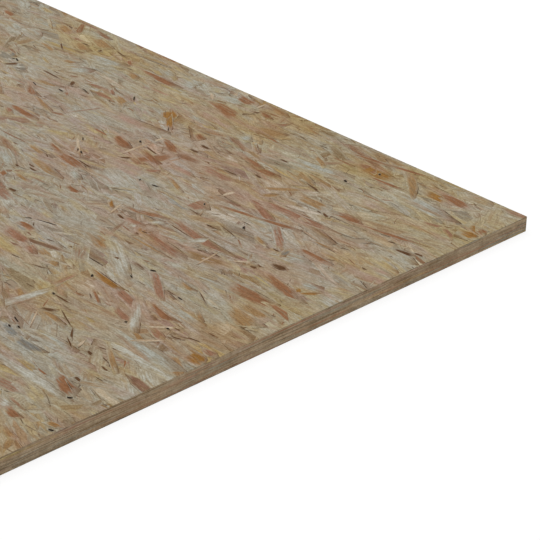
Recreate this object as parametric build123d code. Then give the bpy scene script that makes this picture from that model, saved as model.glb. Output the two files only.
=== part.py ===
from build123d import *

import os

# One oriented strand board panel: a hot-pressed sheet of wood strands, sawn square on all four edges.
# Millimetres. The panel lies flat: X runs along the long side, which is the way the face strands lie,
# Y across the panel and Z up. The origin is the middle of the underside.

# Trade size of the panel
PANEL_LENGTH = 2440.0
PANEL_WIDTH = 1220.0
PANEL_THICKNESS = 18.0

# Flat left where the brittle sawn arris rubs off, measured along each of the two faces that meet there
ARRIS_BREAK = 0.5

PARTS_FOLDER = "parts"


def osb_panel():
    """The pressed mat trimmed to size by the saw, with its twelve arrises just broken."""
    sawn_outline = Rectangle(PANEL_LENGTH, PANEL_WIDTH)
    pressed_sheet = extrude(sawn_outline, amount=PANEL_THICKNESS)
    panel = chamfer(pressed_sheet.edges(), ARRIS_BREAK)
    panel.label = "osb_panel"
    return panel


def main():
    os.makedirs(PARTS_FOLDER, exist_ok=True)
    panel = osb_panel()
    export_step(panel, os.path.join(PARTS_FOLDER, panel.label + ".step"))


main()
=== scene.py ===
import math
from collections import namedtuple
from itertools import product

import bmesh
import bpy
import numpy as np
from bpy.props import FloatProperty, FloatVectorProperty, IntProperty, PointerProperty
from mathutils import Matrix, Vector


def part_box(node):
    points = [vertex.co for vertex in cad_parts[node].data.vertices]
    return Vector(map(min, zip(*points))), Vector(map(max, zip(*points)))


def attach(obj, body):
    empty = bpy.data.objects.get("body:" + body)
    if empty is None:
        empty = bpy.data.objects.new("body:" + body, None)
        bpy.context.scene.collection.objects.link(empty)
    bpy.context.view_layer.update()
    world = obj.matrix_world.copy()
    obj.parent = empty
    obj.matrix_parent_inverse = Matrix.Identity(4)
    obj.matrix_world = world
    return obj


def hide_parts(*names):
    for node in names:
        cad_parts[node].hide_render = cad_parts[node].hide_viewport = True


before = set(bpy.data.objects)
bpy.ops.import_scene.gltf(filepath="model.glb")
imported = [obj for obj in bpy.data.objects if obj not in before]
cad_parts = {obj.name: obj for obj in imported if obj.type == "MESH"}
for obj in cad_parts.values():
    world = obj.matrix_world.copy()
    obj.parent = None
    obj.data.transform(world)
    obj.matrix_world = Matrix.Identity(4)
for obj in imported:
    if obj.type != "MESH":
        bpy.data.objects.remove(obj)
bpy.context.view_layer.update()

bl_info = {
    "name": "Oriented strand board panel",
    "version": (1, 0, 0),
    "blender": (4, 5, 0),
    "location": "3D View > Sidebar > Strand board",
    "description": "Dresses a flat panel in pressed wood strands with sawn edges",
    "category": "Add Mesh",
}

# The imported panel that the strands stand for, and the body and finish that every piece takes
PANEL_NODE = "osb_panel"
PANEL_BODY = "root"
PANEL_LOW, PANEL_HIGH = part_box(PANEL_NODE)
PANEL_SIZE = PANEL_HIGH - PANEL_LOW
PANEL_MIDDLE = (PANEL_LOW + PANEL_HIGH) / 2
FACE_SIZE = np.array(PANEL_SIZE[:2])

MM = 0.001

# Points nearer than this, in metres, count as touching
TOUCHING = 1e-7

# The photograph's camera: its frame, its focal length in pixels, and where it stands from the corner in view
PHOTO_PIXELS = 540
PHOTO_FOCAL_PIXELS = 1551.0
SEEN_CORNER = Vector((PANEL_LOW.x, PANEL_LOW.y, PANEL_HIGH.z))
CORNER_ON_FACE = np.array(SEEN_CORNER[:2])
EYE_FROM_CORNER = Vector((-0.9269, 1.1819, 0.7492))
EYE_DIRECTION = Vector((0.6572, -0.5786, -0.4830))
SENSOR_MM = 36.0

# Seeds of the random lays: one for each face, one for the edges and one for the photographed strands
TOP_SEED = 11
UNDERSIDE_SEED = 23
EDGE_SEED = 37
SEEN_SEED = 53

# How far the photograph reaches from the corner along the long side and along the short side
SEEN_ALONG = 0.95
SEEN_ACROSS = 0.67

# Strands that stand out in the photographed corner, read off it and laid in this order. Each has the
# millimetres in from the corner of its two ends, along the long side and the short side, and its width.
SEEN_STRANDS = {
    "grey": (
        (60, 404, 128, 401, 11), (128, 396, 165, 390, 7), (165, 408, 205, 400, 14), (20, 470, 110, 474, 18),
        (100, 522, 150, 530, 14), (60, 525, 100, 535, 10), (160, 193, 198, 196, 12),
        (165, 222, 245, 226, 12), (80, 250, 130, 262, 22), (190, 310, 245, 318, 10), (30, 275, 55, 282, 14),
        (100, 340, 150, 350, 8), (60, 70, 130, 68, 22), (10, 168, 40, 165, 12), (200, 80, 280, 95, 20),
        (350, 95, 362, 92, 12), (440, 30, 470, 35, 16), (510, 40, 545, 38, 22), (460, 130, 500, 120, 10),
        (480, 340, 520, 325, 16), (395, 305, 420, 300, 10), (640, 65, 700, 75, 18),
        (650, 110, 680, 125, 18), (800, 85, 840, 80, 20), (570, 35, 590, 30, 14), (840, 90, 880, 85, 22),
    ),
    "pink": (
        (5, 205, 35, 205, 8), (110, 105, 150, 110, 20), (380, 90, 470, 85, 16), (440, 160, 560, 165, 20),
        (350, 240, 420, 250, 22),
    ),
    "straw": (
        (45, 10, 72, 12, 14), (8, 193, 42, 190, 11), (42, 590, 82, 586, 13), (330, 382, 356, 380, 12),
        (475, 217, 512, 214, 9), (560, 18, 622, 8, 9), (708, 131, 737, 122, 7), (868, 16, 906, 10, 10),
        (490, 86, 516, 88, 13), (480, 20, 502, 24, 14),
    ),
    "tan": (
        (113, 56, 166, 14, 10), (155, 148, 197, 150, 14), (330, 58, 370, 62, 14), (415, 319, 482, 312, 12),
        (300, 22, 333, 17, 4), (22, 366, 62, 362, 20), (25, 350, 60, 348, 13), (145, 501, 192, 502, 6),
        (45, 511, 82, 491, 5), (110, 368, 136, 367, 6), (62, 397, 81, 388, 5), (235, 380, 272, 373, 14),
        (235, 77, 267, 64, 6), (295, 238, 332, 228, 6), (475, 298, 508, 296, 6), (425, 352, 456, 350, 6),
        (590, 76, 616, 72, 10), (705, 38, 748, 32, 16), (715, 64, 752, 58, 13), (788, 41, 818, 35, 12),
        (580, 218, 642, 203, 6), (740, 100, 782, 95, 6), (240, 438, 256, 443, 8), (265, 434, 282, 430, 8),
        (70, 463, 88, 459, 7), (215, 166, 224, 182, 10), (530, 141, 562, 131, 12), (85, 207, 112, 210, 4),
        (180, 344, 262, 345, 4), (138, 252, 158, 246, 6), (687, 103, 706, 108, 9), (8, 648, 16, 640, 6),
        (18, 637, 36, 634, 6), (210, 498, 231, 493, 7), (372, 15, 406, 12, 11),
    ),
    "rose": (
        (118, 181, 222, 190, 10), (118, 247, 170, 212, 9), (166, 213, 242, 188, 10),
        (245, 250, 267, 250, 22), (158, 295, 253, 288, 13), (175, 334, 240, 327, 15),
        (120, 400, 172, 374, 9), (125, 430, 167, 422, 10), (108, 450, 136, 446, 9), (60, 446, 86, 440, 8),
        (3, 431, 18, 430, 8), (210, 462, 214, 436, 6), (350, 227, 363, 236, 8), (378, 230, 402, 226, 9),
        (300, 437, 352, 431, 14), (605, 259, 623, 252, 8), (45, 608, 76, 606, 4), (400, 338, 442, 343, 4),
        (255, 320, 283, 326, 8), (566, 131, 583, 121, 5), (18, 98, 44, 87, 6), (43, 87, 66, 93, 7),
        (350, 29, 361, 38, 8), (280, 441, 302, 436, 10),
    ),
    "honey": (
        (442, 139, 470, 118, 8), (462, 124, 479, 110, 17), (163, 421, 213, 418, 9), (3, 446, 27, 444, 16),
        (4, 78, 24, 79, 13), (3, 65, 28, 62, 13), (82, 40, 116, 38, 13), (25, 280, 40, 297, 5),
        (41, 293, 48, 289, 5), (236, 325, 252, 330, 8), (5, 600, 17, 603, 6), (308, 320, 326, 311, 5),
        (160, 46, 213, 47, 18),
    ),
    "russet": (
        (58, 34, 104, 30, 13), (66, 233, 108, 232, 7), (40, 333, 104, 332, 17), (10, 335, 46, 331, 7),
        (425, 18, 458, 14, 12), (425, 214, 466, 206, 13), (464, 211, 502, 210, 4), (370, 214, 409, 206, 9),
        (418, 286, 470, 281, 14), (460, 281, 502, 272, 6), (538, 56, 616, 54, 10), (378, 180, 416, 166, 10),
        (252, 293, 304, 311, 8), (80, 419, 122, 414, 10), (40, 561, 76, 556, 13), (78, 562, 96, 561, 3),
        (40, 618, 59, 615, 8), (150, 452, 179, 440, 4), (174, 455, 188, 458, 4), (98, 147, 146, 150, 12),
        (33, 303, 93, 293, 13), (250, 136, 300, 141, 10), (280, 135, 322, 127, 7), (323, 414, 349, 416, 8),
        (365, 325, 389, 323, 7), (633, 53, 649, 43, 6), (630, 205, 669, 188, 10), (568, 249, 632, 248, 10),
        (897, 64, 926, 60, 8), (315, 73, 350, 73, 4), (602, 175, 615, 170, 5), (455, 362, 468, 358, 8),
        (2, 66, 16, 63, 11), (380, 32, 404, 28, 8), (386, 134, 402, 127, 10), (184, 46, 214, 45, 10),
        (142, 9, 200, 21, 5), (190, 20, 242, 31, 5), (142, 208, 200, 221, 6), (190, 219, 243, 232, 5),
        (36, 134, 112, 151, 5), (135, 54, 187, 58, 5), (214, 52, 251, 53, 4), (113, 93, 161, 95, 3),
    ),
    "slate": (
        (118, 546, 153, 545, 9), (154, 543, 182, 541, 7), (106, 255, 112, 240, 8), (762, 150, 777, 147, 7),
    ),
    "pale": (
        (42, 571, 127, 575, 8), (186, 290, 194, 306, 9), (245, 300, 256, 312, 8), (257, 329, 267, 330, 6),
        (140, 153, 151, 157, 5), (60, 614, 73, 614, 9), (205, 476, 212, 512, 11), (90, 456, 128, 423, 9),
        (180, 402, 242, 370, 14), (385, 406, 402, 400, 13),
    ),
    "splinter": (
        (115, 286, 133, 302, 3), (150, 330, 156, 298, 3), (418, 185, 416, 230, 4.9), (415, 4, 414, 26, 4),
        (418, 162, 417, 182, 4.9), (100, 513, 106, 500, 3), (56, 447, 76, 470, 4), (62, 420, 89, 446, 4),
        (158, 527, 183, 500, 2), (440, 270, 492, 238, 4), (470, 47, 491, 34, 4), (300, 329, 312, 305, 4),
        (252, 195, 254, 212, 4.9),
    ),
    # Painted shadow, with some dark wood: thin dark lines at strand ends and edges
    "umber": (
        (185, 127, 226, 120, 4), (9, 149, 24, 151, 4), (19, 156, 43, 159, 5), (138, 162, 151, 158, 4),
        (258, 151, 273, 150, 4), (270, 101, 286, 102, 4), (28, 212, 37, 211, 3), (83, 273, 101, 274, 9),
        (101, 287, 112, 286, 3.5), (103, 292, 114, 296, 5), (232, 261, 257, 260, 3),
        (165, 265, 213, 256, 1.8), (115, 252, 127, 252, 3), (195, 300, 247, 297, 2),
        (240, 337, 248, 336, 4), (236, 328, 246, 329, 3), (78, 377, 108, 364, 1.5), (175, 378, 196, 377, 6),
        (112, 387, 133, 387, 2), (211, 384, 218, 386, 4.5), (28, 407, 43, 408, 3), (165, 417, 213, 414, 2),
        (43, 428, 57, 435, 3), (45, 433, 61, 439, 3), (58, 425, 69, 426, 3), (242, 450, 268, 460, 3),
        (170, 473, 198, 475, 3), (130, 498, 173, 484, 2), (115, 510, 133, 495, 3.5),
        (100, 519, 126, 508, 2), (168, 492, 181, 499, 7), (48, 517, 59, 516, 3), (78, 512, 91, 511, 4),
        (50, 545, 61, 545, 4), (42, 559, 63, 553, 1.5), (399, 29, 407, 38, 4), (280, 166, 310, 169, 4),
        (359, 145, 374, 145, 5), (359, 160, 374, 161, 5), (386, 200, 416, 195, 3), (399, 228, 409, 237, 5),
        (404, 278, 441, 277, 3), (279, 327, 296, 325, 4), (440, 330, 459, 330, 4), (464, 338, 474, 337, 4),
        (411, 376, 426, 378, 5), (654, 42, 692, 36, 4), (727, 54, 746, 53, 4), (739, 88, 764, 73, 3),
        (628, 152, 636, 143, 7), (650, 152, 702, 150, 4), (735, 160, 746, 176, 8), (698, 54, 705, 50, 6),
    ),
    # Painted shade, with some bark: the darkest spots and slits, where gaps lie in shade
    "bark_and_gap_shade": (
        (176, 47, 181, 41, 3.5), (188, 87, 195, 84, 4), (177, 247, 184, 240, 4), (248, 242, 253, 238, 2.5),
        (102, 388, 113, 387, 2), (170, 398, 178, 395, 2.5), (165, 371, 173, 375, 4.5),
        (198, 426, 204, 423, 3.5), (68, 432, 74, 431, 3), (104, 453, 109, 454, 3.5),
        (193, 474, 200, 473, 3), (172, 530, 187, 526, 2.2), (163, 535, 169, 534, 2.5),
        (170, 540, 177, 539, 3), (32, 565, 39, 569, 4), (2, 606, 9, 609, 3), (531, 124, 547, 112, 2.8),
        (430, 149, 441, 140, 1.8), (424, 195, 434, 190, 4), (316, 250, 328, 254, 3.5),
        (343, 257, 349, 253, 3), (446, 264, 454, 259, 3), (455, 263, 463, 257, 2.5),
        (474, 242, 486, 234, 1.8), (316, 389, 346, 399, 2), (344, 398, 354, 405, 2.5),
        (590, 152, 611, 148, 3.5), (614, 172, 629, 171, 3.5), (654, 186, 671, 182, 2.5),
        (741, 157, 756, 152, 3),
    ),
}

# Broad zones of that corner where strands of one colour prevail: the millimetres in from the corner of a
# zone's middle, and how far it reaches along the long side and along the short side
SEEN_ZONES = {
    "straw": (
        (120, 50, 260, 80), (640, 35, 150, 45), (50, 110, 90, 60), (40, 350, 50, 50), (220, 425, 60, 30),
        (740, 35, 90, 40), (350, 50, 60, 40), (30, 590, 60, 60), (240, 470, 50, 25), (40, 150, 60, 60),
        (110, 200, 60, 40), (150, 35, 60, 25),
    ),
    "tan": (
        (90, 35, 40, 20), (200, 30, 45, 28), (320, 35, 50, 26), (375, 60, 50, 24), (60, 150, 45, 16),
        (240, 335, 45, 18), (25, 405, 40, 24), (5, 640, 40, 36), (220, 515, 45, 20), (45, 545, 50, 22),
        (620, 15, 55, 28), (460, 118, 30, 18), (590, 60, 45, 16), (140, 148, 30, 12), (430, 5, 55, 18),
        (870, 10, 45, 18), (750, 170, 45, 22), (300, 140, 45, 16), (375, 130, 35, 16), (400, 200, 35, 18),
        (100, 340, 40, 18), (610, 105, 40, 15),
    ),
    "pink": (
        (200, 190, 120, 45), (390, 190, 60, 60), (610, 200, 110, 60), (230, 315, 110, 50),
        (450, 285, 80, 40), (140, 430, 90, 30), (110, 240, 80, 40), (320, 420, 50, 40),
    ),
    "grey": (
        (840, 85, 70, 28), (540, 185, 90, 40), (540, 300, 70, 55), (390, 395, 45, 35), (310, 360, 60, 45),
        (130, 555, 90, 40), (160, 240, 60, 24), (270, 65, 35, 25), (910, 20, 60, 35), (30, 465, 50, 20),
        (640, 85, 50, 25), (150, 360, 55, 20), (270, 410, 60, 20), (740, 150, 60, 40), (110, 80, 45, 25),
        (740, 5, 45, 18), (340, 110, 35, 30), (310, 250, 50, 22), (390, 290, 45, 25), (270, 490, 40, 20),
    ),
    "pale": (
        (510, 30, 65, 28), (850, 85, 60, 22), (390, 405, 35, 25), (560, 285, 50, 40), (345, 295, 40, 26),
        (20, 175, 45, 25), (160, 230, 40, 18), (115, 80, 35, 20), (20, 350, 30, 20), (15, 520, 30, 20),
        (710, 190, 40, 30), (110, 530, 35, 18), (30, 15, 50, 15), (30, 265, 30, 18), (165, 115, 30, 18),
        (190, 410, 35, 18), (310, 420, 30, 22), (65, 40, 35, 30), (440, 165, 35, 25), (140, 165, 45, 25),
        (500, 15, 40, 18),
    ),
}

# How strongly those strands cover what they lie on, where that isn't 1
SEEN_STRENGTHS = {
    "bark_and_gap_shade": 3.0, "umber": 2.3, "splinter": 3.6, "slate": 2.2, "russet": 2.1,
    "rose": 1.9, "honey": 2.3, "tan": 1.9, "pale": 1.7, "grey": 1.3,
}

# Their colours fray at the rim, so they are laid larger than they show, and from this width on by more
SEEN_BROAD_MM = 5
SEEN_BROAD_GROWTH = 1.35
SEEN_THIN_GROWTH = 1.1

# Their levels under the face, least bluntness, least painted shade at rim and end, and share of the usual
# relief
SEEN_LEVELS_MM = (-0.06, 0.0)
SEEN_BLUNTNESS = 0.25
SEEN_SHADING = 0.4
SEEN_RELIEF = 0.1

# Share of the random coloured strands that is kept among the photographed ones
SEEN_FILL = 0.35

# Zones on the rest of a face: how many of each colour, and their reach along and across, with its spread
ZONE_COUNT = 100
ZONE_REACH_MM = (70, 32)
ZONE_SPREAD = 0.4

# How far a zone draws the common strands in it, the coloured ones and the ground between them to its colour
COMMON_DRAW = 0.6
COLOURED_DRAW = 0.15
GROUND_DRAW = 0.65

StrandKind = namedtuple("StrandKind", "lean levels_mm shares strength draw")
PanelFace = namedtuple("PanelFace", "name origin along out map_axes")

# Weights of the wood colours in each sort of strand
# The lower strands leave out the pale and grey wood: painted shade, darker where they show through gaps
LOWER_WOOD = {"sapwood": 20, "straw": 10, "pink": 10, "tan": 20}
COMMON_WOOD = {"sapwood": 24, "grey": 19, "pale": 13, "straw": 16, "pink": 15, "tan": 13}
COLOURED_WOOD = {"tan": 37, "rose": 22, "russet": 25, "honey": 6, "straw": 10}
BROKEN_WOOD = {"sapwood": 20, "pale": 20, "straw": 14, "pink": 10, "tan": 16, "rose": 6, "russet": 4}
EDGE_WOOD = {"edge_light": 4, "edge_dark": 4, "edge_red": 3, "edge_grey": 3, "straw": 1, "pink": 1}

# The kinds of strand on a face, from the mat up: their lean as a multiple of the common one, their levels,
# their colours, how strongly these cover what is under them, and how far a zone draws them
FACE_KINDS = {
    "under": StrandKind(1.0, (-0.5, -0.36), LOWER_WOOD, (1.0, 1.6), COMMON_DRAW),
    "broad": StrandKind(1.0, (-0.34, -0.2), COMMON_WOOD, (1.0, 2.7), COMMON_DRAW),
    "narrow": StrandKind(1.0, (-0.24, -0.12), COMMON_WOOD, (0.6, 2.4), COMMON_DRAW),
    "accent": StrandKind(1.3, (-0.14, -0.07), COLOURED_WOOD, (0.8, 2.4), COLOURED_DRAW),
    "chip": StrandKind(1.5, (-0.2, -0.07), BROKEN_WOOD, (0.5, 1.6), COMMON_DRAW),
    # Painted shadow: thin dark lines in the gaps along strand ends and edges
    "mark": StrandKind(1.3, (-0.12, -0.06), {"umber": 1, "russet": 1}, (1.7, 3.3), COLOURED_DRAW),
    "splinter": StrandKind(3, (-0.1, -0.02), {"splinter": 3, "straw": 1}, (0.6, 1.2), COLOURED_DRAW),
    "thread": StrandKind(2, (-0.1, -0.04), {"pale": 3, "sapwood": 1}, (0.8, 1.8), COMMON_DRAW),
    # Painted shade: dark flecks where open gaps between strands lie in shade
    "void": StrandKind(1.5, (-0.08, -0.02), {"bark_and_gap_shade": 2, "umber": 1}, (1.5, 3.0), COLOURED_DRAW),
}

# What they are called, their mean length and width in metres, and their amount on a face: a whole number is
# a count, and any other is the number of layers
STRAND_SIZES = {
    "under": ("lower strands", 0.150, 0.042, 3.0),
    "broad": ("broad strands", 0.105, 0.021, 1.7),
    "narrow": ("narrow strands", 0.070, 0.012, 0.55),
    "accent": ("coloured strands", 0.070, 0.012, 0.50),
    "chip": ("broken chips", 0.022, 0.006, 3600),
    "mark": ("thin dark marks", 0.017, 0.0017, 6000),
    "splinter": ("loose splinters", 0.026, 0.002, 500),
    "thread": ("fine pale threads", 0.014, 0.0012, 2600),
    "void": ("painted shade in gaps", 0.008, 0.003, 320),
}

# Spread of the lengths and widths of one kind, as logarithms, and its limits as multiples of the mean
LENGTH_SPREAD = (-0.04, 0.3)
LENGTH_LIMITS = (0.4, 1.8)
WIDTH_SPREAD = (-0.08, 0.45)
WIDTH_LIMITS = (0.3, 2.2)

# Share of the strands that lie astray, and how much further they lean
STRAY_SHARE = 0.2
STRAY_LEAN = 2.8

# How far strands stray from their cell of the grid, along it and past its sides, in cells
CELL_JITTER = 0.5
CELL_SPILL = 0.3

# Wood of one colour: its lightest, how far it falls below that, and how far it turns redder and less blue
LIGHTEST = 1.05
DARKENING = 0.075
WARMING = 0.03
WARM = np.array([1.0, 0.0, -1.5])

# Outline of a strand: the share of blunt ends, and in half widths how far its ends draw in, how wide its
# waist is, and how far it bows, wavers and is cut askew
BLUNT_SHARE = 0.35
BLUNT_TAPER = (-0.1, 0.25)
POINTED_TAPER = (0.35, 0.9)
WAIST = (0.8, 1.1)
BOW = 0.15
WAVER = 0.08
END_SLANT = 0.7

# Relief of a strand: how far its ends dip, its middle rolls and its sides tilt, and its rim in half widths
END_DIP_MM = 0.16
ROLL_MM = 0.03
TILT_MM = 0.03
RIM_SHARE = 0.1

# Where in the wood a strand is cut from, in metres, and how far its grain runs out of it
GRAIN_SHIFT = 9
GRAIN_RUNOUT = 0.05

# Which way along and across a strand its painted shade, with some resin, falls off from the darker end and
# side
SHADE_AND_RESIN_WAY = (-0.8, -0.5, 0)

# Value that a noise pattern lies about
PATTERN_MIDDLE = 0.5

# A strand that bends is made in so many lengths, and a stiff one in one
BENT_LENGTHS = 3
STIFF_LENGTHS = 1

# Strands in a sawn edge: length in metres, width, level, lean, a cell's length over its height, how strongly
# they cover, and their share of the usual relief
LAMINA_LENGTH = (0.05, 0.19)
LAMINA_WIDTH_MM = (0.7, 2.4)
LAMINA_LEVELS_MM = (-0.22, 0.0)
LAMINA_LEAN = math.radians(0.5)
LAMINA_ASPECT = 90
LAMINA_STRENGTH = (1.4, 2.6)
LAMINA_RELIEF = 0.3

# How far up the sawn edge a painted contact shade darkens its foot, and how strongly
FOOT_SHADE_HEIGHT_MM = 1.0
FOOT_SHADE_STRENGTH = 1.5

# Length, width and height of the streaks in the mat, and how light the darkest are
MAT_STREAK_MM = (30, 4, 1)
MAT_SHADE = 0.7

# How much light the floor throws back to the camera, and how much it adds of its own
FLOOR_SHADE = 0.25
FLOOR_LIFT = 0.8


def linear(colour):
    """Turns an sRGB hex colour into linear red, green and blue."""
    parts = [int(colour[i:i + 2], 16) / 255 for i in (1, 3, 5)]
    return tuple(p / 12.92 if p <= 0.04045 else ((p + 0.055) / 1.055) ** 2.4 for p in parts)


def colour_property(name, description, colour):
    """A colour that a user can change, with its default written as sRGB hex."""
    return FloatVectorProperty(
        name=name, description=description, default=linear(colour), subtype="COLOR", size=3, min=0, max=1
    )


def length_property(name, description, default):
    """A length that a user can change, in metres."""
    return FloatProperty(name=name, description=description, default=default, unit="LENGTH", min=0)


class StrandSizes(bpy.types.PropertyGroup):
    """Sizes of the strands and of the mat that they are pressed into."""

    rim_height: length_property("Strand rim height", "How far a strand stands over its neighbour", 0.0001)
    face_depth: length_property("Face depth", "From the face down to the mat under the strands", 0.0007)
    edge_depth: length_property("Edge depth", "From the sawn edge in to the mat", 0.0004)
    arris: length_property("Arris break", "Flat left on each rubbed arris", 0.0005)
    lean: FloatProperty(
        name="Strand lean", description="Spread of the strands about the long side",
        default=math.radians(14), subtype="ANGLE",
    )
    lamina_count: IntProperty(name="Edge strands", description="Strands round the sawn edges", default=3300)


# Each kind of strand adds a length, a width and an amount to those sizes
for kind, (what, length, width, amount) in STRAND_SIZES.items():
    label = kind.capitalize()
    number = IntProperty if isinstance(amount, int) else FloatProperty
    StrandSizes.__annotations__.update({
        kind + "_length": length_property(label + " length", f"Mean length of the {what}", length),
        kind + "_width": length_property(label + " width", f"Mean width of the {what}", width),
        kind + "_amount": number(name=label + " amount", description=f"Amount of {what}", default=amount),
    })


class StrandColours(bpy.types.PropertyGroup):
    """Colours of the wood, the resin and the stage."""

    sapwood: colour_property("Sapwood", "The common ground of the face", "#b8ad95")
    pale: colour_property("Pale sapwood", "Whitest strands", "#c3c2b7")
    grey: colour_property("Grey sapwood", "Weathered grey strands", "#b6b9b0")
    straw: colour_property("Straw", "Yellowish sapwood", "#beab77")
    pink: colour_property("Pinkish sapwood", "Strands from near the heart", "#b6998b")
    tan: colour_property("Tan", "Latewood strands", "#a8885e")
    rose: colour_property("Rose", "Reddish strands", "#a17961")
    honey: colour_property("Honey", "Resinous yellow strands", "#a2783d")
    russet: colour_property("Russet heartwood", "Reddest strands", "#9a6e4d")
    umber: colour_property("Umber", "Scorched and shaded strands", "#684a2e")
    splinter: colour_property("Splinters", "Freshly torn splinters", "#d0bfa7")
    slate: colour_property("Slate", "Blue-stained strands", "#8b8c88")
    # Painted shade as well as bark: the darkest colour, for bark flecks and for gaps in shade
    bark_and_gap_shade: colour_property("Bark and gap shade", "Flecks of bark and painted shade in gaps", "#2a1d10")
    edge_light: colour_property("Sawn edge, light", "Strands cut along the grain", "#bba98f")
    edge_dark: colour_property("Sawn edge, dark", "Strands cut across the grain", "#8e7c62")
    edge_red: colour_property("Sawn edge, red", "Heartwood strands in the edge", "#ac876e")
    edge_grey: colour_property("Sawn edge, grey", "Strands that the saw has rubbed grey", "#a29e8e")
    # Painted shade: the colour of the foot of the sawn edge, where it meets the floor
    edge_foot_shade: colour_property("Sawn edge, soiled", "Shade painted along the lower arris", "#7d7669")
    # Resin with painted shade: the mat is a little darker than the wood, for the bottom of the gaps
    mat: colour_property("Mat", "Resin-bound mat in the gaps", "#a5927a")
    floor: colour_property("Floor", "Plain pale floor", "#f4f3f1")


class StageSizes(bpy.types.PropertyGroup):
    """Sizes and levels of the floor and the lights."""

    floor_size: length_property("Floor size", "Side of the square floor", 60.0)
    lamp_size: length_property("Lamp size", "Side of the overhead soft box", 6.0)
    lamp_height: length_property("Lamp height", "Height of the soft box over the floor", 4.0)
    lamp_power: FloatProperty(name="Lamp power", description="Its power", default=122.0, unit="POWER")
    sky_level: FloatProperty(name="Sky level", description="Brightness of the white surround", default=0.5)


def strand_form(lengths):
    """One strand, 2 long and 2 wide: a flat in so many lengths with a sloped rim, closed below.

    Returns its points and its faces, lowest faces first. z is 0 on the flat and -1 at the foot of the rim.
    """
    form = bmesh.new()
    bmesh.ops.create_grid(form, x_segments=lengths, y_segments=1, size=1.0)
    bmesh.ops.inset_region(
        form, faces=form.faces[:], thickness=RIM_SHARE, use_boundary=True, use_even_offset=True
    )
    foot = [edge for edge in form.edges if edge.is_boundary]
    for vert in {vert for edge in foot for vert in edge.verts}:
        vert.co.z = -1.0
    bmesh.ops.edgeloop_fill(form, edges=foot)
    bmesh.ops.recalc_face_normals(form, faces=form.faces[:])
    form.verts.index_update()
    points = np.array([vert.co[:] for vert in form.verts])
    upwards = sorted(form.faces, key=lambda face: face.calc_center_median().z)
    faces = [[vert.index for vert in face.verts] for face in upwards]
    form.free()
    return points, faces


def scattered(rng, low, high, count, cell_aspect):
    """About count places over a rectangle, one in each long cell of a grid with rows shifted at random."""
    size = high - low
    rows = max(1, round(math.sqrt(count * cell_aspect * size[1] / size[0])))
    columns = max(1, round(count / rows))
    row, column = np.divmod(np.arange(rows * columns), columns)
    shifted = column + rng.random(rows)[row] + rng.uniform(-CELL_JITTER, CELL_JITTER, row.size)
    along = shifted % columns / columns
    across = (row + rng.uniform(-CELL_SPILL, 1 + CELL_SPILL, row.size)) / rows
    return low + size * np.stack([along, across], axis=1)


def tinted(rng, colours, weights, count):
    """A wood colour for each strand: a family drawn by its weight, then made a little lighter or warmer."""
    families = np.array([getattr(colours, name)[:] for name in weights])
    shares = np.array(list(weights.values()))
    tint = families[rng.choice(len(families), count, p=shares / shares.sum())]
    lightness = LIGHTEST - rng.exponential(DARKENING, (count, 1))
    warmth = 1 + rng.normal(0, WARMING, (count, 1)) * WARM
    return np.clip(tint * lightness * warmth, 0, 1)


def zoned(tint, middle, zones, colours, share):
    """Wood colours drawn by a share to the colour of the zones that they lie in, each as light as it was."""
    lightness = tint.mean(axis=1, keepdims=True) / np.mean(colours.sapwood)
    for family, rows in zones.items():
        away = (middle[:, None, :] - rows[:, :2]) / rows[:, 2:]
        inside = np.exp(-(away ** 2).sum(axis=2)).sum(axis=1, keepdims=True)
        drawn = np.array(getattr(colours, family)) * lightness
        tint = tint + share * np.minimum(inside, 1) * (drawn - tint)
    return tint


def strand_lay(rng, middle, angle, length, width, level, tint):
    """Gives each strand of a lay its outline and its rise, and returns the lay from the lowest strand up.

    The four columns of reach, drift and rise are the strand's four stations along its length.
    """
    count = len(middle)
    ends = (count, 2)
    blunt = rng.random(ends) < BLUNT_SHARE
    taper = np.where(blunt, rng.uniform(*BLUNT_TAPER, ends), rng.uniform(*POINTED_TAPER, ends))
    waist = rng.uniform(*WAIST, ends)
    reach = np.column_stack([1 - taper[:, 0], waist, 1 - taper[:, 1]])
    bow = rng.normal(0, BOW, count)
    drift = np.column_stack([bow, -bow, -bow, bow]) + rng.normal(0, WAVER, (count, 4))
    dip = rng.uniform(0.0, END_DIP_MM, ends) * MM
    roll = rng.normal(0, ROLL_MM, ends) * MM
    rise = np.column_stack([-dip[:, 0], roll, -dip[:, 1]])
    lay = {
        "middle": middle,
        "angle": angle,
        "length": length,
        "width": width,
        "level": level,
        "tint": tint,
        "reach": reach,
        "drift": drift,
        "rise": rise,
        "slant": rng.normal(0, END_SLANT, ends),
        "tilt": rng.normal(0, TILT_MM, count) * MM,
        "shift": rng.uniform(0, GRAIN_SHIFT, (count, 3)),
        "runout": rng.normal(0, GRAIN_RUNOUT, count),
        # Which side of each strand takes the painted shade and dark rim line, and how strongly
        "line": rng.random(count) * rng.choice((-1, 1), count),
    }
    return chosen(lay, np.argsort(level))


def chosen(lay, which):
    """Some of a lay's strands, or all of them in another order."""
    return {name: values[which] for name, values in lay.items()}


def joined(lays):
    """Several lays as one, in the order given."""
    return {name: np.concatenate([lay[name] for lay in lays]) for name in lays[0]}


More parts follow.
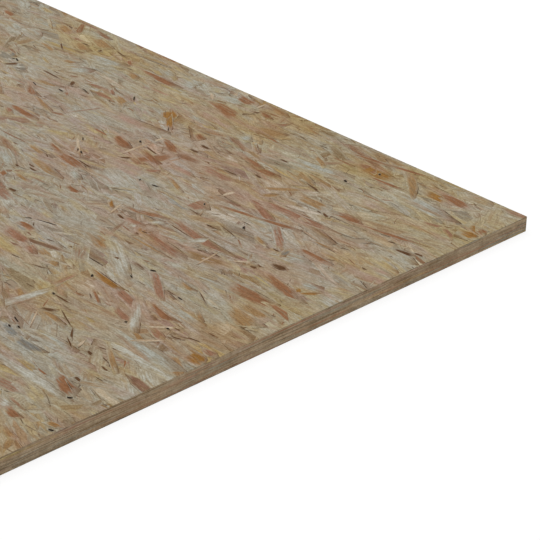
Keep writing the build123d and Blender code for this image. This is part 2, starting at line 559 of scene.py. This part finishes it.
def strand_points(lay, form_points, rim_height):
    """Every strand's points in its own axes (along, across, out), in its grain and on its outline.

    A hat is 1 at its own station along the strand and falls to 0 at the next, two thirds away.
    """
    stations = np.array([-1, -1 / 3, 1 / 3, 1])
    hats = np.clip(1 - np.abs(form_points[:, :1] - stations) * 1.5, 0, 1)
    half_length = lay["length"][:, None] / 2
    half_width = lay["width"][:, None] / 2
    side = form_points[:, 1]
    ends = hats[:, [0, 3]]
    across = half_width * (side * (lay["reach"] @ hats.T) + lay["drift"] @ hats.T)
    along = half_length * form_points[:, 0] + half_width * side * (lay["slant"] @ ends.T)
    out = lay["level"][:, None] + lay["rise"] @ hats.T + lay["tilt"][:, None] * side
    out = np.minimum(out, 0) + rim_height * form_points[:, 2]
    grain = np.stack([along, across + along * lay["runout"][:, None], np.zeros_like(along)], axis=2)
    grain += lay["shift"][:, None, :]
    spot = np.empty_like(grain)
    spot[:, :, :2] = form_points[:, :2]
    spot[:, :, 2] = lay["line"][:, None]
    return np.stack([along, across, out], axis=2), grain, spot


def placed(lay, points, face):
    """Strand points set into the panel: level 0 lies at a face's origin, and along and out are its axes."""
    across = np.cross(face.out, face.along)
    turn = np.exp(1j * lay["angle"])[:, None]
    flat = (points[:, :, 0] + 1j * points[:, :, 1]) * turn + (lay["middle"] @ np.array([1, 1j]))[:, None]
    axes = np.array([face.along, across, face.out])
    return np.array(face.origin) + np.stack([flat.real, flat.imag, points[:, :, 2]], axis=2) @ axes


def saw_planes(arris):
    """Where the saw and the rubbed arrises end the panel: a point and an outward direction for each."""
    planes = []
    for axes in ((0,), (1,), (2,), (0, 1), (0, 2), (1, 2)):
        rubbed = arris / 2 if len(axes) == 2 else 0
        for signs in product((-1, 1), repeat=len(axes)):
            point = PANEL_MIDDLE.copy()
            facing = Vector((0, 0, 0))
            for axis, sign in zip(axes, signs):
                point[axis] += sign * (PANEL_SIZE[axis] / 2 - rubbed)
                facing[axis] = sign
            planes.append((point, facing.normalized()))
    return planes


def sawn(shape, planes):
    """Cuts away what stands past each plane and closes the cut strands."""
    for point, facing in planes:
        if not any((vert.co - point).dot(facing) > TOUCHING for vert in shape.verts):
            continue
        geometry = shape.verts[:] + shape.edges[:] + shape.faces[:]
        cut = bmesh.ops.bisect_plane(
            shape, geom=geometry, dist=TOUCHING, plane_co=point, plane_no=facing, clear_outer=True
        )
        rims = [part for part in cut["geom_cut"] if isinstance(part, bmesh.types.BMEdge)]
        bmesh.ops.holes_fill(shape, edges=[rim for rim in rims if rim.is_boundary], sides=0)


def finished(mesh, name, material):
    """Puts a mesh into the scene as a piece of the panel."""
    piece = bpy.data.objects.new(name, mesh)
    bpy.context.scene.collection.objects.link(piece)
    mesh.materials.append(material)
    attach(piece, PANEL_BODY)
    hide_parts(PANEL_NODE)


def strand_piece(name, lay, face, lengths, sizes, material, ground):
    """Adds one mesh of many strands on one face, sawn to the panel's outline.

    Each strand is made in so many lengths. ground gives the colour of the wood around each place.
    """
    form_points, form_faces = strand_form(lengths)
    points, grain, spot = strand_points(lay, form_points, sizes.rim_height)
    places = placed(lay, points, face).reshape(-1, 3)
    starts = range(0, len(places), len(form_points))
    mesh = bpy.data.meshes.new(name)
    faces = [[start + corner for corner in corners] for start in starts for corners in form_faces]
    mesh.from_pydata(places, [], faces)
    tint = np.repeat(lay["tint"], len(form_points), axis=0)
    for attribute, kind, field, values in (
        ("grain", "FLOAT_VECTOR", "vector", grain),
        ("spot", "FLOAT_VECTOR", "vector", spot),
        ("ground", "FLOAT_VECTOR", "vector", ground(places)),
        ("tint", "FLOAT_COLOR", "color", tint),
    ):
        mesh.attributes.new(attribute, kind, "POINT").data.foreach_set(field, values.ravel())
    shape = bmesh.new()
    shape.from_mesh(mesh)
    sawn(shape, saw_planes(sizes.arris))
    shape.to_mesh(mesh)
    shape.free()
    planar_map(mesh, face.map_axes)
    finished(mesh, name, material)


def planar_map(mesh, axes):
    """A flat map of the piece, seen straight on, named OFBake."""
    places = np.empty(len(mesh.vertices) * 3)
    mesh.vertices.foreach_get("co", places)
    corners = np.empty(len(mesh.loops), dtype=int)
    mesh.loops.foreach_get("vertex_index", corners)
    places = places.reshape(-1, 3)[corners][:, axes]
    low = np.array(PANEL_LOW)[list(axes)]
    size = np.array(PANEL_SIZE)[list(axes)]
    mesh.uv_layers.new(name="OFBake").data.foreach_set("uv", ((places - low) / size).ravel())


def node(tree, kind, inputs, **settings):
    """Adds a node with its settings, and gives its inputs values or links from other nodes' outputs."""
    made = tree.nodes.new(kind)
    for name, value in settings.items():
        setattr(made, name, value)
    for key, value in inputs.items():
        if isinstance(value, bpy.types.NodeSocket):
            tree.links.new(value, made.inputs[key])
        else:
            made.inputs[key].default_value = value
    return made


def new_material(name):
    """An empty node material and its output node."""
    material = bpy.data.materials.new(name)
    material.use_nodes = True
    material.node_tree.nodes.clear()
    return material, node(material.node_tree, "ShaderNodeOutputMaterial", {})


def pressed_strands(name, stains, fibre_mm, contrast):
    """Softwood strands, hot-pressed flat under resin and wax.

    The press leaves them matt and nearly smooth, and beds each strand in the next, so that the strands share
    a stained ground, and a strand's own colour frays into it at the rim. Fine fibre lines run along each
    strand, with broader bands of darker latewood and short dark pores. Each strand also darkens towards one
    end and side, and on some a thin dark line runs along that rim: painted shade and shadow, with some
    resin.
    """
    material, output = new_material(name)
    tree = material.node_tree
    carried = {}
    for attribute in ("grain", "spot", "tint", "ground"):
        carried[attribute] = node(tree, "ShaderNodeAttribute", {}, attribute_name=attribute).outputs
    grain = carried["grain"]["Vector"]
    spot = carried["spot"]["Vector"]
    tint = carried["tint"]
    place = node(tree, "ShaderNodeTexCoord", {}).outputs["Object"]

    # What each pattern follows, and how long and how wide its blots are in millimetres
    drawings = {
        "patch": (place, 130, 40),
        "blot": (place, 52, 13),
        "cloud": (place, 80, 19),
        "mottle": (place, 9, 4.5),
        "speckle": (place, 2.2, 1.6),
        "drift": (grain, 60, 8),
        "fray": (grain, 24, 2.2),
        "band": (grain, 55, 3.4 * fibre_mm),
        "fibre": (grain, 18, 1.1 * fibre_mm),
        "pore": (grain, 12, 0.7 * fibre_mm),
    }
    patterns = {}
    for pattern, (source, length, width) in drawings.items():
        scale = (1 / (length * MM), 1 / (width * MM), 1 / (width * MM))
        scaled = node(tree, "ShaderNodeVectorMath", {0: source, 1: scale}, operation="MULTIPLY")
        inputs = {"Vector": scaled.outputs["Vector"], "Scale": 1.0, "Detail": 2.0, "Roughness": 0.6}
        patterns[pattern] = node(tree, "ShaderNodeTexNoise", inputs).outputs["Fac"]

    # Where a place lies on its strand, and how far out it is at each side once the side is torn
    where = node(tree, "ShaderNodeSeparateXYZ", {"Vector": spot}).outputs
    # Painted shade, with some resin: how far a place lies towards its strand's darker end and side, times
    # its strength
    inward = node(tree, "ShaderNodeVectorMath", {0: spot, 1: SHADE_AND_RESIN_WAY}, operation="DOT_PRODUCT")
    inputs = {0: inward.outputs["Value"], 1: where["Z"]}
    shade_and_resin = node(tree, "ShaderNodeMath", inputs, operation="MULTIPLY").outputs[0]
    inputs = {0: patterns["fray"], 1: PATTERN_MIDDLE}
    torn = node(tree, "ShaderNodeMath", inputs, operation="SUBTRACT").outputs[0]
    outward = {}
    ragged = {}
    for axis, raggedness in (("X", 1.0), ("Y", 0.8)):
        outward[axis] = node(tree, "ShaderNodeMath", {0: where[axis]}, operation="ABSOLUTE").outputs[0]
        inputs = {0: torn, 1: raggedness, 2: outward[axis]}
        ragged[axis] = node(tree, "ShaderNodeMath", inputs, operation="MULTIPLY_ADD").outputs[0]

    # The strand's own colour, fuller towards its shaded end, and its dark rim line, a painted shadow with
    # some
    # resin in it: what each starts from, and the patterns that fade it, with their values where it is
    # faintest and where it is full, and the faintest share
    fades = {
        "own": (tint["Alpha"], (
            (patterns["drift"], 0.62, 0.42, 0.55),
            (patterns["fibre"], 0.36, 0.54, 0.5),
            (patterns["fray"], 0.40, 0.56, 0.65),
            (shade_and_resin, -0.8, 0.4, 0.2),
            (ragged["X"], 1.0, 0.25, 0.0),
            (ragged["Y"], 1.0, 0.35, 0.0),
        )),
        "line": (shade_and_resin, (
            (outward["Y"], 0.84, 0.96, 0.0),
            (patterns["fray"], 0.42, 0.58, 0.0),
        )),
    }
    faded = {}
    for part, (value, steps) in fades.items():
        for pattern, none, full, least in steps:
            inputs = {0: pattern, 1: none, 2: full, 3: least}
            shown = node(tree, "ShaderNodeMapRange", inputs, interpolation_type="SMOOTHSTEP")
            inputs = {0: value, 1: shown.outputs["Result"]}
            value = node(tree, "ShaderNodeMath", inputs, operation="MULTIPLY").outputs[0]
        faded[part] = value

    # Each layer of colour: how it goes on, what it follows, where that starts and is full, share and shade
    patch_stain, blot_stain, cloud_stain = stains
    layers = (
        ("MIX", patterns["patch"], 0.44, 0.60, 0.50, patch_stain),
        ("MIX", patterns["blot"], 0.50, 0.66, 0.45, blot_stain),
        ("MIX", patterns["cloud"], 0.50, 0.66, 0.45, cloud_stain),
        ("MIX", faded["own"], 0.0, 1.0, 1.0, tint["Color"]),
        ("MULTIPLY", patterns["drift"], 0.50, 0.72, 0.60 * contrast, linear("#efd9c0")),
        ("MULTIPLY", patterns["mottle"], 0.62, 0.38, 0.55 * contrast, linear("#e6dccf")),
        ("MULTIPLY", patterns["band"], 0.50, 0.70, 0.55 * contrast, linear("#e3cdb4")),
        ("MULTIPLY", patterns["fibre"], 0.62, 0.34, 0.6 * contrast, linear("#d8d1c7")),
        ("MULTIPLY", patterns["pore"], 0.62, 0.74, 0.70 * contrast, linear("#ab9985")),
        ("MULTIPLY", patterns["speckle"], 0.64, 0.36, 0.75 * contrast, linear("#dedad4")),
        # Painted shade, with some resin: each strand darker towards one end and side
        ("MULTIPLY", shade_and_resin, 0.1, 1.2, 0.85, linear("#b69679")),
        # Painted shadow, with some resin: a thin dark line along the strand's shaded rim
        ("MULTIPLY", faded["line"], 0.0, 0.8, 1.0, linear("#7a6652")),
    )
    colour = carried["ground"]["Color"]
    for blend, pattern, start, full, share, shade in layers:
        factor = node(tree, "ShaderNodeMapRange", {0: pattern, 1: start, 2: full, 4: share},
                      interpolation_type="SMOOTHSTEP").outputs["Result"]
        if not isinstance(shade, bpy.types.NodeSocket):
            shade = tuple(shade) + (1,)
        colour = node(tree, "ShaderNodeMix", {0: factor, 6: colour, 7: shade},
                      data_type="RGBA", blend_type=blend).outputs[2]
    roughness = node(tree, "ShaderNodeMapRange", {0: patterns["fibre"], 1: 0.2, 2: 0.8, 3: 0.74, 4: 0.6})
    bump = node(tree, "ShaderNodeBump", {
        "Height": patterns["fibre"],
        "Strength": 0.25,
        "Distance": 0.12 * MM,
    })
    surface = node(tree, "ShaderNodeBsdfPrincipled", {
        "Base Color": colour,
        "Roughness": roughness.outputs["Result"],
        "Normal": bump.outputs["Normal"],
        "Specular IOR Level": 0.08,
    })
    tree.links.new(surface.outputs["BSDF"], output.inputs["Surface"])
    return material


def resin_mat(colour):
    """The pressed mat under the face: shaded, resin-soaked wood that only shows at the bottom of a gap."""
    material, output = new_material("Resin-bound strand mat")
    tree = material.node_tree
    place = node(tree, "ShaderNodeTexCoord", {}).outputs["Object"]
    scale = [1 / (side * MM) for side in MAT_STREAK_MM]
    drawn = node(tree, "ShaderNodeMapping", {"Vector": place, "Scale": scale}).outputs["Vector"]
    noise = node(tree, "ShaderNodeTexNoise", {"Vector": drawn, "Scale": 1.0, "Detail": 3.0})
    ramp = node(tree, "ShaderNodeValToRGB", {"Fac": noise.outputs["Fac"]})
    ramp.color_ramp.elements[0].color = tuple(MAT_SHADE * part for part in colour) + (1,)
    ramp.color_ramp.elements[1].color = tuple(colour) + (1,)
    surface = node(tree, "ShaderNodeBsdfPrincipled", {
        "Base Color": ramp.outputs["Color"],
        "Roughness": 0.8,
        "Specular IOR Level": 0.2,
    })
    tree.links.new(surface.outputs["BSDF"], output.inputs["Surface"])
    return material


def random_lay(rng, name, sizes, colours, zones):
    """Strands of one kind, spread over a whole face, in the colours of the zones that they lie in."""
    kind = FACE_KINDS[name]
    mean_length = getattr(sizes, name + "_length")
    mean_width = getattr(sizes, name + "_width")
    wanted = getattr(sizes, name + "_amount")
    if isinstance(wanted, float):
        area = PANEL_SIZE.x * PANEL_SIZE.y
        wanted = wanted * area / (mean_length * mean_width)
    reach = (FACE_SIZE + mean_length) / 2
    middle = scattered(rng, -reach, reach, wanted, mean_length / mean_width)
    count = len(middle)
    length = mean_length * np.clip(rng.lognormal(*LENGTH_SPREAD, count), *LENGTH_LIMITS)
    width = mean_width * np.clip(rng.lognormal(*WIDTH_SPREAD, count), *WIDTH_LIMITS)
    turn = rng.normal(0, 1, count)
    stray = np.where(rng.random(count) < STRAY_SHARE, STRAY_LEAN, 1)
    angle = turn * stray * (sizes.lean * kind.lean)
    level = rng.uniform(*kind.levels_mm, count) * MM
    tint = zoned(tinted(rng, colours, kind.shares, count), middle, zones, colours, kind.draw)
    tint = np.column_stack([tint, rng.uniform(*kind.strength, count)])
    return strand_lay(rng, middle, angle, length, width, level, tint)


def past_view(places):
    """Which places lie outside the photographed corner."""
    return (places - CORNER_ON_FACE) @ np.array([1 / SEEN_ALONG, 1 / SEEN_ACROSS]) > 1


def face_zones(rng, with_seen):
    """The colour zones of a face: random ones, and in the photographed corner those that it shows."""
    zones = {}
    for family, rows in SEEN_ZONES.items():
        middle = rng.uniform(-FACE_SIZE / 2, FACE_SIZE / 2, (ZONE_COUNT, 2))
        reach = rng.lognormal(0, ZONE_SPREAD, (ZONE_COUNT, 1)) * np.array(ZONE_REACH_MM) * MM
        zones[family] = np.column_stack([middle, reach])
        if with_seen:
            seen = np.array(rows) * MM
            seen[:, :2] += CORNER_ON_FACE
            zones[family] = np.concatenate([zones[family][past_view(middle)], seen])
    return zones


def seen_lay(colours):
    """The strands that stand out in the photographed corner, each where it lies there."""
    rng = np.random.default_rng(SEEN_SEED)
    families = [family for family, strands in SEEN_STRANDS.items() for _ in strands]
    rows = np.array([strand for strands in SEEN_STRANDS.values() for strand in strands]) * MM
    run = rows[:, 2:4] - rows[:, :2]
    middle = CORNER_ON_FACE + (rows[:, 2:4] + rows[:, :2]) / 2
    growth = np.where(rows[:, 4] >= SEEN_BROAD_MM * MM, SEEN_BROAD_GROWTH, SEEN_THIN_GROWTH)
    length = np.hypot(*run.T) * growth
    width = rows[:, 4] * growth
    angle = np.arctan2(run[:, 1], run[:, 0])
    level = np.linspace(*SEEN_LEVELS_MM, len(rows)) * MM
    strength = [SEEN_STRENGTHS.get(family, 1.0) for family in families]
    tint = np.column_stack([[getattr(colours, family) for family in families], strength])
    lay = strand_lay(rng, middle, angle, length, width, level, tint)
    lay["reach"] = SEEN_BLUNTNESS + (1 - SEEN_BLUNTNESS) * lay["reach"]
    # Painted shade: at least this much darkening at these strands' shaded rim and end
    lay["line"] = SEEN_SHADING + (1 - SEEN_SHADING) * np.abs(lay["line"])
    lay["rise"] *= SEEN_RELIEF
    lay["tilt"] *= SEEN_RELIEF
    return lay


class OSB_OT_mat_core(bpy.types.Operator):
    """Add the mat that the strands are pressed into"""

    bl_idname = "osb.mat_core"
    bl_label = "Mat core"

    def execute(self, context):
        sizes = context.scene.osb_sizes
        colours = context.scene.osb_colours
        depth = Vector((sizes.edge_depth, sizes.edge_depth, sizes.face_depth))
        core = bmesh.new()
        bmesh.ops.create_cube(core, size=1.0)
        bmesh.ops.scale(core, vec=PANEL_SIZE - 2 * depth, verts=core.verts)
        bmesh.ops.translate(core, vec=PANEL_MIDDLE, verts=core.verts)
        bmesh.ops.bevel(
            core, geom=core.edges[:], offset=sizes.arris, affect="EDGES",
            segments=1, profile=0.5, material=-1,
        )
        mesh = bpy.data.meshes.new("mat_core")
        core.to_mesh(mesh)
        core.free()
        finished(mesh, "mat_core", resin_mat(colours.mat))
        return {"FINISHED"}


class OSB_OT_face_strands(bpy.types.Operator):
    """Lay the strands of both faces: broad ones, narrow ones over them, and chips and splinters on top"""

    bl_idname = "osb.face_strands"
    bl_label = "Face strands"

    def execute(self, context):
        sizes = context.scene.osb_sizes
        colours = context.scene.osb_colours
        stains = (colours.grey, colours.straw, colours.pink)
        material = pressed_strands("Hot-pressed softwood strands", stains, fibre_mm=1.6, contrast=1.0)
        faces = {
            TOP_SEED: PanelFace("top", (0, 0, PANEL_HIGH.z), (1, 0, 0), (0, 0, 1), (0, 1)),
            UNDERSIDE_SEED: PanelFace("underside", (0, 0, PANEL_LOW.z), (1, 0, 0), (0, 0, -1), (0, 1)),
        }
        for seed, face in faces.items():
            rng = np.random.default_rng(seed)
            zones = face_zones(rng, face.name == "top")

            def ground(places):
                plain = np.tile(colours.sapwood, (len(places), 1))
                return zoned(plain, places[:, :2], zones, colours, GROUND_DRAW)

            lays = {kind: random_lay(rng, kind, sizes, colours, zones) for kind in FACE_KINDS}
            lower = [lays["under"], lays["broad"]]
            upper = [lays["narrow"], lays["accent"]]
            if face.name == "top":
                for kind in ("splinter", "void"):
                    lays[kind] = chosen(lays[kind], past_view(lays[kind]["middle"]))
                places = lays["accent"]["middle"]
                kept = past_view(places) | (rng.random(len(places)) < SEEN_FILL)
                upper = [lays["narrow"], chosen(lays["accent"], kept), seen_lay(colours)]
            small = [lays["chip"], lays["void"]]
            fine = [lays["mark"], lays["splinter"], lays["thread"]]
            for kind, layers, lengths in (
                ("broad_strands", lower, BENT_LENGTHS),
                ("narrow_strands", upper, BENT_LENGTHS),
                ("chips", small, STIFF_LENGTHS),
                ("threads", fine, STIFF_LENGTHS),
            ):
                strand_piece(f"{face.name}_{kind}", joined(layers), face, lengths, sizes, material, ground)
        return {"FINISHED"}


class OSB_OT_sawn_edges(bpy.types.Operator):
    """Lay the cut ends of the strands along the four sawn edges"""

    bl_idname = "osb.sawn_edges"
    bl_label = "Sawn edges"

    def execute(self, context):
        sizes = context.scene.osb_sizes
        colours = context.scene.osb_colours
        rng = np.random.default_rng(EDGE_SEED)
        stains = (colours.edge_light, colours.edge_dark, colours.edge_dark)
        material = pressed_strands("Saw-cut strand edge", stains, fibre_mm=0.9, contrast=0.8)
        around = 2 * (PANEL_SIZE.x + PANEL_SIZE.y)

        def ground(places):
            return np.tile(colours.edge_light, (len(places), 1))

        edges = {
            "near_end": (-1, 0, 0), "far_end": (1, 0, 0), "right_side": (0, -1, 0), "left_side": (0, 1, 0),
        }
        for name, out in edges.items():
            out = Vector(out)
            along = Vector((0, 0, 1)).cross(out)
            edge_length = abs(PANEL_SIZE.dot(along))
            half = np.array([edge_length / 2, PANEL_SIZE.z / 2])
            wanted = sizes.lamina_count * edge_length / around
            places = scattered(rng, -half, half, wanted, LAMINA_ASPECT)
            count = len(places)
            length = rng.uniform(*LAMINA_LENGTH, count)
            width = rng.uniform(*LAMINA_WIDTH_MM, count) * MM
            level = rng.uniform(*LAMINA_LEVELS_MM, count) * MM
            angle = rng.normal(0, LAMINA_LEAN, count)
            wood = tinted(rng, colours, EDGE_WOOD, count)
            tint = np.column_stack([wood, rng.uniform(*LAMINA_STRENGTH, count)])
            # Painted shade: the strands along the foot of the edge take its dark colour
            tint[places[:, 1] < FOOT_SHADE_HEIGHT_MM * MM - half[1]] = (*colours.edge_foot_shade, FOOT_SHADE_STRENGTH)
            lay = strand_lay(rng, places, angle, length, width, level, tint)
            lay["rise"] *= LAMINA_RELIEF
            origin = Vector([PANEL_MIDDLE[i] + out[i] * PANEL_SIZE[i] / 2 for i in range(3)])
            face = PanelFace(name, origin, along, out, (1, 2) if out.x else (0, 2))
            strand_piece("sawn_" + name, lay, face, BENT_LENGTHS, sizes, material, ground)
        return {"FINISHED"}


class OSB_OT_stage(bpy.types.Operator):
    """Set the floor, the soft light, the white surround and the photograph's camera"""

    bl_idname = "osb.stage"
    bl_label = "Stage"

    def execute(self, context):
        stage = context.scene.osb_stage
        colours = context.scene.osb_colours
        self.floor(stage, colours)
        self.surround(context.scene, stage)
        self.lamp(context.scene, stage)
        self.camera(context.scene)
        context.scene.view_settings.view_transform = "Standard"
        return {"FINISHED"}

    def floor(self, stage, colours):
        """A pale floor. Light of its own, for the camera only, lifts it to the white of the surround."""
        material, output = new_material("Plain white studio floor")
        tree = material.node_tree
        path = node(tree, "ShaderNodeLightPath", {})
        matt = node(tree, "ShaderNodeBsdfDiffuse", {"Color": tuple(colours.floor) + (1,)})
        dimmed = node(tree, "ShaderNodeBsdfDiffuse", {"Color": (FLOOR_SHADE, FLOOR_SHADE, FLOOR_SHADE, 1)})
        lift = node(tree, "ShaderNodeEmission", {"Color": (1, 1, 1, 1), "Strength": FLOOR_LIFT})
        seen = node(tree, "ShaderNodeAddShader", {0: dimmed.outputs[0], 1: lift.outputs[0]})
        mixed = node(tree, "ShaderNodeMixShader", {
            0: path.outputs["Is Camera Ray"], 1: matt.outputs[0], 2: seen.outputs[0],
        })
        tree.links.new(mixed.outputs[0], output.inputs["Surface"])
        ground = bmesh.new()
        bmesh.ops.create_grid(ground, x_segments=1, y_segments=1, size=stage.floor_size / 2)
        bmesh.ops.translate(ground, vec=(0, 0, PANEL_LOW.z), verts=ground.verts)
        mesh = bpy.data.meshes.new("floor")
        ground.to_mesh(mesh)
        ground.free()
        mesh.materials.append(material)
        floor = bpy.data.objects.new("floor", mesh)
        bpy.context.scene.collection.objects.link(floor)

    def surround(self, scene, stage):
        """White to the camera and in reflections, and plain grey light on the panel."""
        world = bpy.data.worlds.new("White surround")
        world.use_nodes = True
        tree = world.node_tree
        tree.nodes.clear()
        path = node(tree, "ShaderNodeLightPath", {}).outputs
        shown = path["Is Camera Ray"]
        for ray in ("Is Glossy Ray", "Is Transmission Ray"):
            shown = node(tree, "ShaderNodeMath", {0: shown, 1: path[ray]}, operation="MAXIMUM").outputs[0]
        light = node(tree, "ShaderNodeBackground", {"Color": (1, 1, 1, 1), "Strength": stage.sky_level})
        white = node(tree, "ShaderNodeBackground", {"Color": (1, 1, 1, 1), "Strength": 1.0})
        mixed = node(tree, "ShaderNodeMixShader", {0: shown, 1: light.outputs[0], 2: white.outputs[0]})
        output = node(tree, "ShaderNodeOutputWorld", {})
        tree.links.new(mixed.outputs[0], output.inputs["Surface"])
        scene.world = world

    def lamp(self, scene, stage):
        """One large soft box straight overhead."""
        light = bpy.data.lights.new("soft_box", "AREA")
        light.size = stage.lamp_size
        light.energy = stage.lamp_power
        lamp = bpy.data.objects.new("soft_box", light)
        lamp.location = (0, 0, stage.lamp_height)
        scene.collection.objects.link(lamp)

    def camera(self, scene):
        """The photograph's view of the corner."""
        lens = bpy.data.cameras.new("photo_camera")
        lens.sensor_width = SENSOR_MM
        lens.lens = SENSOR_MM * PHOTO_FOCAL_PIXELS / PHOTO_PIXELS
        camera = bpy.data.objects.new("photo_camera", lens)
        camera.location = SEEN_CORNER + EYE_FROM_CORNER
        camera.rotation_euler = EYE_DIRECTION.to_track_quat("-Z", "Y").to_euler()
        scene.collection.objects.link(camera)
        scene.camera = camera


class OSB_PT_sidebar(bpy.types.Panel):
    """Lists the strand board's settings and steps"""

    bl_label = "Strand board"
    bl_idname = "OSB_PT_sidebar"
    bl_space_type = "VIEW_3D"
    bl_region_type = "UI"
    bl_category = "Strand board"

    def draw(self, context):
        for group in (context.scene.osb_sizes, context.scene.osb_colours, context.scene.osb_stage):
            for name in group.__annotations__:
                self.layout.prop(group, name)
        for step in STEPS:
            self.layout.operator(step.bl_idname)


SETTINGS = {"osb_sizes": StrandSizes, "osb_colours": StrandColours, "osb_stage": StageSizes}
STEPS = (OSB_OT_mat_core, OSB_OT_face_strands, OSB_OT_sawn_edges, OSB_OT_stage)


def register():
    """Adds the settings, the steps and the sidebar to Blender."""
    for kind in (*SETTINGS.values(), *STEPS, OSB_PT_sidebar):
        bpy.utils.register_class(kind)
    for name, kind in SETTINGS.items():
        setattr(bpy.types.Scene, name, PointerProperty(type=kind))


def unregister():
    """Takes them out again."""
    for name in SETTINGS:
        delattr(bpy.types.Scene, name)
    for kind in (OSB_PT_sidebar, *reversed(STEPS), *SETTINGS.values()):
        bpy.utils.unregister_class(kind)


def main():
    """Builds the panel step by step."""
    register()
    bpy.ops.osb.mat_core()
    bpy.ops.osb.face_strands()
    bpy.ops.osb.sawn_edges()
    bpy.ops.osb.stage()


if __name__ == "__main__":
    main()
